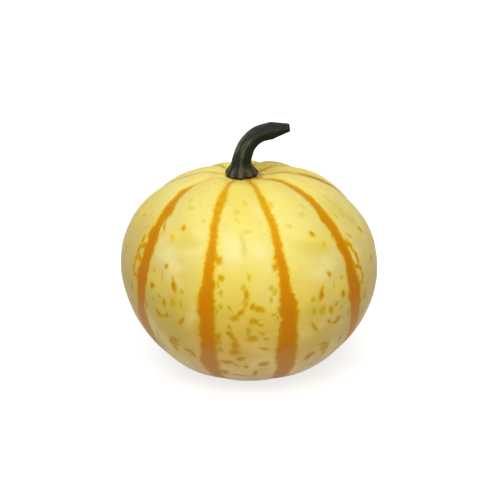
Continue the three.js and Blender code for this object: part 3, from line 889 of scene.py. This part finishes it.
def make_rind_material():
    """Pale yellow rind: flecks on the ribs, orange stripes with ragged golden rims in the grooves, a brown
    ring round the stalk's foot, a corky scar underneath and fine pores."""
    material, graph = new_graph("striped_rind")
    rind = Rind(graph)
    place, z = rind.place, rind.z
    orange = stripe_paint(rind)
    golden = rind.tone("golden")
    ochre = rind.tone("ochre")
    olive = graph.mix(rind.flank * 0.8, rind.tone("olive"), tone("flank olive"))

    # Flecks: the distance from a mark's middle, where 1 is its edge. The outlines are disturbed by noise.
    strayed = graph.strayed(rind.sheet, place, 3 * MM, 3.0, 3.4)
    to_orange, to_gold, to_olive = (marks(graph, strayed, group)
                                    for group in (ORANGE_MARKS, GOLDEN_MARKS, OLIVE_MARKS))
    faint = graph.step(70 * MM, 98 * MM, z, 0.85, 0.5)
    ripe = graph.step(0.4, 0.62, graph.noise(place, 3 * MM, 1.0), 0.25, 0.9)
    ripe = ripe * graph.step(0.7, 0.95, rind.facing, 1, 0.65)
    skin = graph.mix(graph.step(1.7, 0.6, to_gold) * 0.75, ground_paint(rind), golden)
    skin = graph.mix(graph.step(1.1, 0.2, to_gold) * 0.8, skin, olive)
    skin = graph.mix(graph.step(1.5, 0.4, to_olive) * faint, skin, olive)
    skin = graph.mix(graph.step(2.1, 1.0, to_orange) * 0.6, skin, golden)

    # Stripes: the distance from the edge in mm, ragged below and smoother towards the crown. The orange
    # flecks lie over their golden rims.
    ragged = graph.step(112 * MM, 75 * MM, z, 1.8, 5.2)
    frayed = (graph.noise(place, 5 * MM, 4.0, Roughness=0.62) - 0.5) * ragged
    waved = (graph.noise(place, 2.3 * MM) - 0.5) * 2.2
    edge = graph.attribute("stripe_edge") + frayed + waved
    strength = graph.attribute("stripe_strength")
    stripe = graph.step(0.6, -0.5, edge) * strength
    rim = graph.step(1.9, 0.5, edge + (rind.grain - 0.5) * 2.4) * strength
    striped = graph.mix(graph.step(-2.2, -0.2, edge) * 0.45, orange, ochre)
    striped = graph.mix(graph.attribute("stripe_brown"), striped, tone("browned stripe"))
    skin = graph.mix(rim * 0.75, skin, golden)
    skin = graph.mix(graph.step(1.45, 0.7, to_orange) * 0.9, skin, ochre)
    skin = graph.mix(graph.step(1.1, 0.4, to_orange) * ripe, skin, orange)
    skin = graph.mix(stripe, skin, striped)

    # The brown ring round the stalk's foot and the cork of the blossom scar.
    from_seat = graph.distance(place, (CROWN_SHIFT * MM, 0, (GIRTH_HEIGHT + SEAT_RISE) * MM))
    skin = graph.mix(graph.step(12.3 * MM, 9.6 * MM, from_seat) * 0.55, skin, tone("brown ring"))
    from_scar = graph.vector("LENGTH", place, output=1) + (rind.mottle - 0.5) * (3 * MM)
    skin = graph.mix(graph.step(7.5 * MM, 5.5 * MM, from_scar), skin, tone("cork"))

    pores = graph.noise(place, 0.9 * MM)
    relief = pores * 0.4 + rind.grain * 0.6 - stripe * 0.5
    roughness = 0.4 + (rind.mottle - 0.5) * 0.16 + stripe * 0.05
    cover(graph, skin, roughness, gloss=0.06, relief=relief, strength=0.35, depth=0.12 * MM)
    return material


def make_stalk_material():
    """Dried stalk: dark green-grey, worn paler along the ridges with a painted highlight at the bend, darker
    at the tip, and painted shade on the side inside the bend and in the foot's flutes; brown at the foot's
    rim, pith in the cut end and fine threads."""
    material, graph = new_graph("dried_stalk")
    straight = graph.attribute("straightened", "Vector")
    crest = graph.attribute("crest")
    along = graph.split(straight)[2]
    stretched = graph.node("Mapping", None, {"Vector": straight, "Scale": (1, 1, 0.22)})
    threads = graph.noise(stretched, 0.9 * MM, 4.0, Roughness=0.7)
    blotches = graph.noise(straight, 5 * MM, 3.0)

    # A painted highlight on the bend, taken into the worn paleness; the waist lower down is a little darker.
    bend = graph.step(9 * MM, 15 * MM, along) * graph.step(26 * MM, 20 * MM, along)
    waist = graph.step(4 * MM, 7 * MM, along) * graph.step(13 * MM, 9 * MM, along)
    worn = crest * 0.3 + threads * 1.5 + blotches * 0.7 + bend * 0.12 - waist * 0.14
    bark = graph.mix(graph.step(1.04, 1.56, worn), tone("bark"), tone("worn bark"))
    tip = graph.step(21 * MM, 30 * MM, along)
    bark = graph.mix(tip * 0.7, bark, tone("tip"))
    # Painted shade on the side inside the bend, frayed by the blotches, from a little above the foot.
    sheltered = graph.step(0.34, 0.56, graph.attribute("sheltered") + (blotches - 0.5) * 0.4)
    bark = graph.mix(sheltered * graph.step(2 * MM, 12 * MM, along) * 0.85, bark, tone("sheltered bark"))

    foot = graph.step(9 * MM, 3 * MM, along)
    bark = graph.mix(foot * graph.step(0.3, 0.9, crest) * 0.6, bark, tone("foot crest"))
    # Painted shade in the hollows of the foot's flutes.
    bark = graph.mix(foot * graph.step(0.35, 0.05, crest) * 0.7, bark, tone("painted shade in foot flutes"))
    # Painted shade on the foot, on the same side.
    bark = graph.mix(foot * sheltered * 0.55, bark, tone("sheltered foot"))
    bark = graph.mix(graph.step(1.6 * MM, 0.4 * MM, along) * 0.8, bark, tone("foot rim"))
    pith = graph.mix(graph.step(0.4, 0.6, threads), tone("pith"), tone("pale pith"))
    bark = graph.mix(graph.step(0.2, 0.9, graph.attribute("cut")), bark, pith)

    relief = threads + crest * 0.3
    cover(graph, bark, 0.6 + threads * 0.2, gloss=0.15, relief=relief, strength=0.5, depth=0.4 * MM)
    return material


# ---------- The stage ----------

def seen_rays(graph):
    """1 for the rays that show what they meet: from the camera, off gloss and through glass."""
    rays = graph.node("LightPath")
    glossy, transmitted = graph.outputs(rays, "Is Glossy Ray", "Is Transmission Ray")
    return rays.most(glossy).most(transmitted)


def make_floor():
    """A pale floor that shows white, keeps the object's shadow, and throws back a moderate light."""
    half = FLOOR_HALF_WIDTH
    corners = [(-half, -half, 0), (half, -half, 0), (half, half, 0), (-half, half, 0)]
    mesh = bpy.data.meshes.new("floor")
    mesh.from_pydata(corners, [], [(0, 1, 2, 3)])
    floor = add_object("floor", mesh)
    material, graph = new_graph("pale_floor")
    paper = graph.node("BsdfDiffuse", None, {"Color": tone("floor seen")})
    glow = graph.node("Emission", None, {"Color": WHITE, "Strength": FLOOR_GLOW})
    white = graph.node("AddShader", None, {0: paper, 1: glow})
    plain = graph.node("BsdfDiffuse", None, {"Color": tone("floor unseen")})
    shader = graph.node("MixShader", None, {0: seen_rays(graph), 1: plain, 2: white})
    graph.node("OutputMaterial", None, {"Surface": shader})
    floor.data.materials.append(material)


def make_world():
    """White wherever it is seen or mirrored; as soft light on the object it has only the ambient strength."""
    world = bpy.data.worlds.new("white_room")
    bpy.context.scene.world = world
    world.use_nodes = True
    graph = Graph(world.node_tree)
    strength = AMBIENT + seen_rays(graph) * (1 - AMBIENT)
    background = graph.node("Background", None, {"Color": WHITE, "Strength": strength})
    graph.node("OutputWorld", None, {"Surface": background})


def direction(azimuth, elevation):
    """The unit vector from the object towards a place at that azimuth and elevation, in degrees."""
    turn = math.radians(azimuth)
    rise = math.radians(elevation)
    return Vector((math.sin(turn) * math.cos(rise), -math.cos(turn) * math.cos(rise), math.sin(rise)))


def add_lamp(name, azimuth, elevation, level, softness):
    """A far lamp, as wide in the sky as its softness. A white surface that faces it shows the level."""
    lamp = bpy.data.lights.new(name, "SUN")
    lamp.energy = math.pi * level
    lamp.angle = math.radians(softness)
    rotation = direction(azimuth, elevation).to_track_quat("Z", "Y").to_euler()
    add_object(name, lamp).rotation_euler = rotation


def add_camera():
    """The camera looks along +Y and down on the object."""
    back = direction(0, CAMERA_ELEVATION)
    lens = bpy.data.cameras.new("camera")
    lens.sensor_width = SENSOR_WIDTH
    lens.lens = LENS
    camera = add_object("camera", lens)
    camera.location = CAMERA_AIM + back * CAMERA_DISTANCE
    camera.rotation_euler = back.to_track_quat("Z", "Y").to_euler()
    bpy.context.scene.camera = camera


# ---------- The whole ----------

def dress(piece, material, node):
    """The piece takes its material, rides on the one body and stands for a CAD node."""
    piece.data.materials.append(material)
    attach(piece, "root")
    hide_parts(node)


dress(make_fruit(), make_rind_material(), "fruit")
dress(make_stalk(), make_stalk_material(), "stem")

bpy.context.scene.view_settings.view_transform = "Standard"
make_floor()
make_world()
for lamp in LAMPS:
    add_lamp(*lamp)
add_camera()
